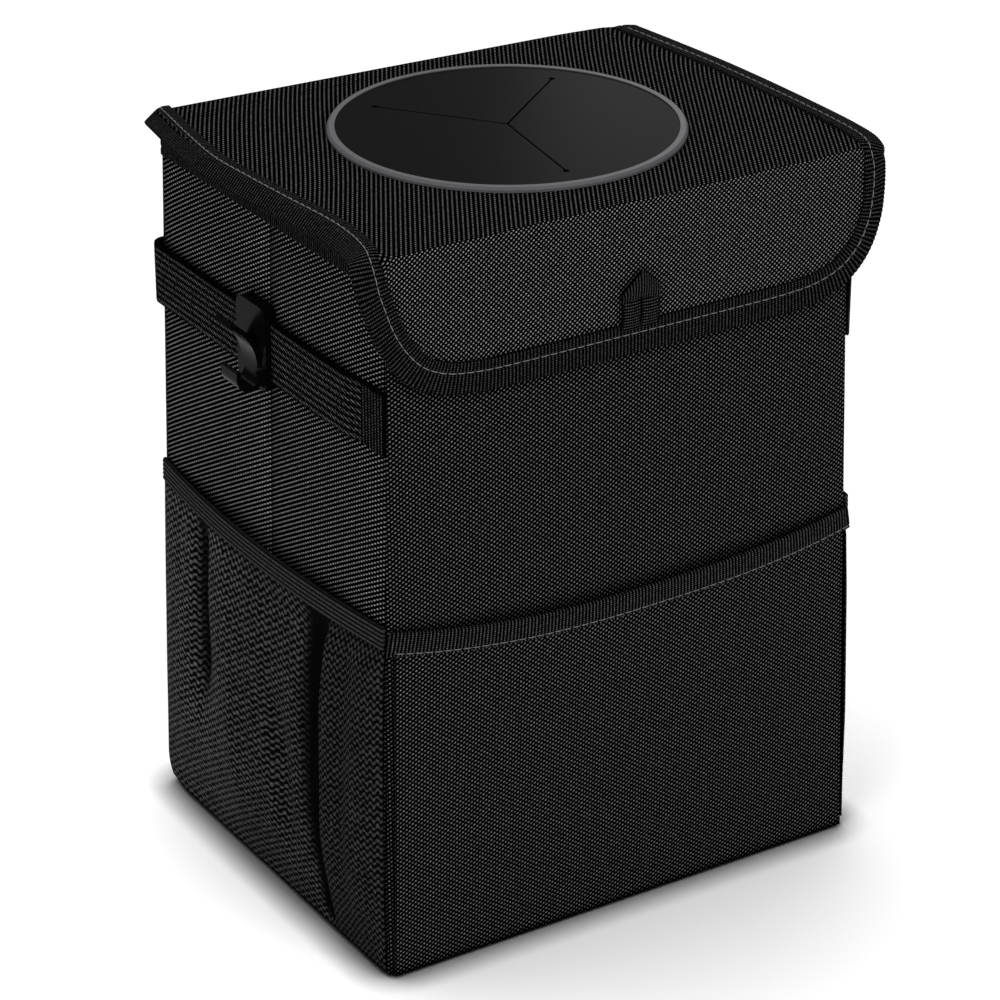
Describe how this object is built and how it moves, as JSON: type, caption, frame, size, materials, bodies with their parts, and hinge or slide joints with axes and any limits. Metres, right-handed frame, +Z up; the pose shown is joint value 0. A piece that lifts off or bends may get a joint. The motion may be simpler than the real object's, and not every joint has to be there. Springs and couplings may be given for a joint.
{
  "type": "lidded fabric car litter bin organizer",
  "caption": "Collapsible lidded fabric car bin with a slit rubber membrane in the lid, a flap, mesh side pockets, a front pocket and a webbing strap with sliding hooks.",
  "frame": {"origin": "middle of the underside of the base", "axes": "+Z up, the flap and front pocket face -Y, the mesh pockets face -X and +X"},
  "size_m": [0.2382, 0.1832, 0.2927],
  "materials": {
    "oxford_fabric": "coarse woven polyester, matt black",
    "binding_tape": "ribbed woven tape, black",
    "mesh_cloth": "knitted mesh, black",
    "webbing": "woven webbing, black",
    "stiffener_board": "polypropylene board",
    "liner_film": "waterproof coated film, grey",
    "membrane_rubber": "smooth silicone rubber, dark grey",
    "ring_plastic": "moulded plastic, grey",
    "hook_plastic": "moulded acetal, black",
    "touch_fastener": "hook-and-loop tape, black"
  },
  "bodies": {
    "bin": {"base_panel": "oxford_fabric", "base_board": "stiffener_board", "front_panel": "oxford_fabric", "back_panel": "oxford_fabric", "left_panel": "oxford_fabric", "right_panel": "oxford_fabric", "front_board": "stiffener_board", "back_board": "stiffener_board", "left_front_board": "stiffener_board", "left_back_board": "stiffener_board", "right_front_board": "stiffener_board", "right_back_board": "stiffener_board", "liner": "liner_film", "rim_binding": "binding_tape", "base_piping": "binding_tape", "front_left_piping": "binding_tape", "front_right_piping": "binding_tape", "back_left_piping": "binding_tape", "back_right_piping": "binding_tape", "front_pocket": "oxford_fabric", "front_pocket_binding": "binding_tape", "left_mesh_pocket": "mesh_cloth", "left_pocket_elastic": "binding_tape", "right_mesh_pocket": "mesh_cloth", "right_pocket_elastic": "binding_tape", "strap": "webbing", "loop_patch": "touch_fastener", "hinge_strip": "oxford_fabric"},
    "lid": {"lid_panel": "oxford_fabric", "lid_board": "stiffener_board", "lid_lining": "liner_film", "left_lid_binding": "binding_tape", "right_lid_binding": "binding_tape", "membrane_ring": "ring_plastic", "membrane": "membrane_rubber", "clamp_ring": "ring_plastic"},
    "flap": {"flap_panel": "oxford_fabric", "flap_lining": "liner_film", "flap_binding": "binding_tape", "hook_patch": "touch_fastener", "pull_tab": "binding_tape"},
    "hook_left": {"left_hook": "hook_plastic"},
    "hook_right": {"right_hook": "hook_plastic"}
  },
  "joints": [
    {"name": "lid_hinge", "type": "hinge", "parent": "bin", "child": "lid", "pos_m": [0, 0.0805, 0.2903], "axis": [-1, 0, 0], "range_deg": [0, 110]},
    {"name": "flap_hinge", "type": "hinge", "parent": "lid", "child": "flap", "pos_m": [0, -0.0869, 0.2903], "axis": [-1, 0, 0], "range_deg": [0, 110]},
    {"name": "left_hook_slide", "type": "slide", "parent": "bin", "child": "hook_left", "axis": [0, 1, 0], "range_m": [-0.045, 0.06]},
    {"name": "right_hook_slide", "type": "slide", "parent": "bin", "child": "hook_right", "axis": [0, 1, 0], "range_m": [-0.045, 0.06]}
  ]
}
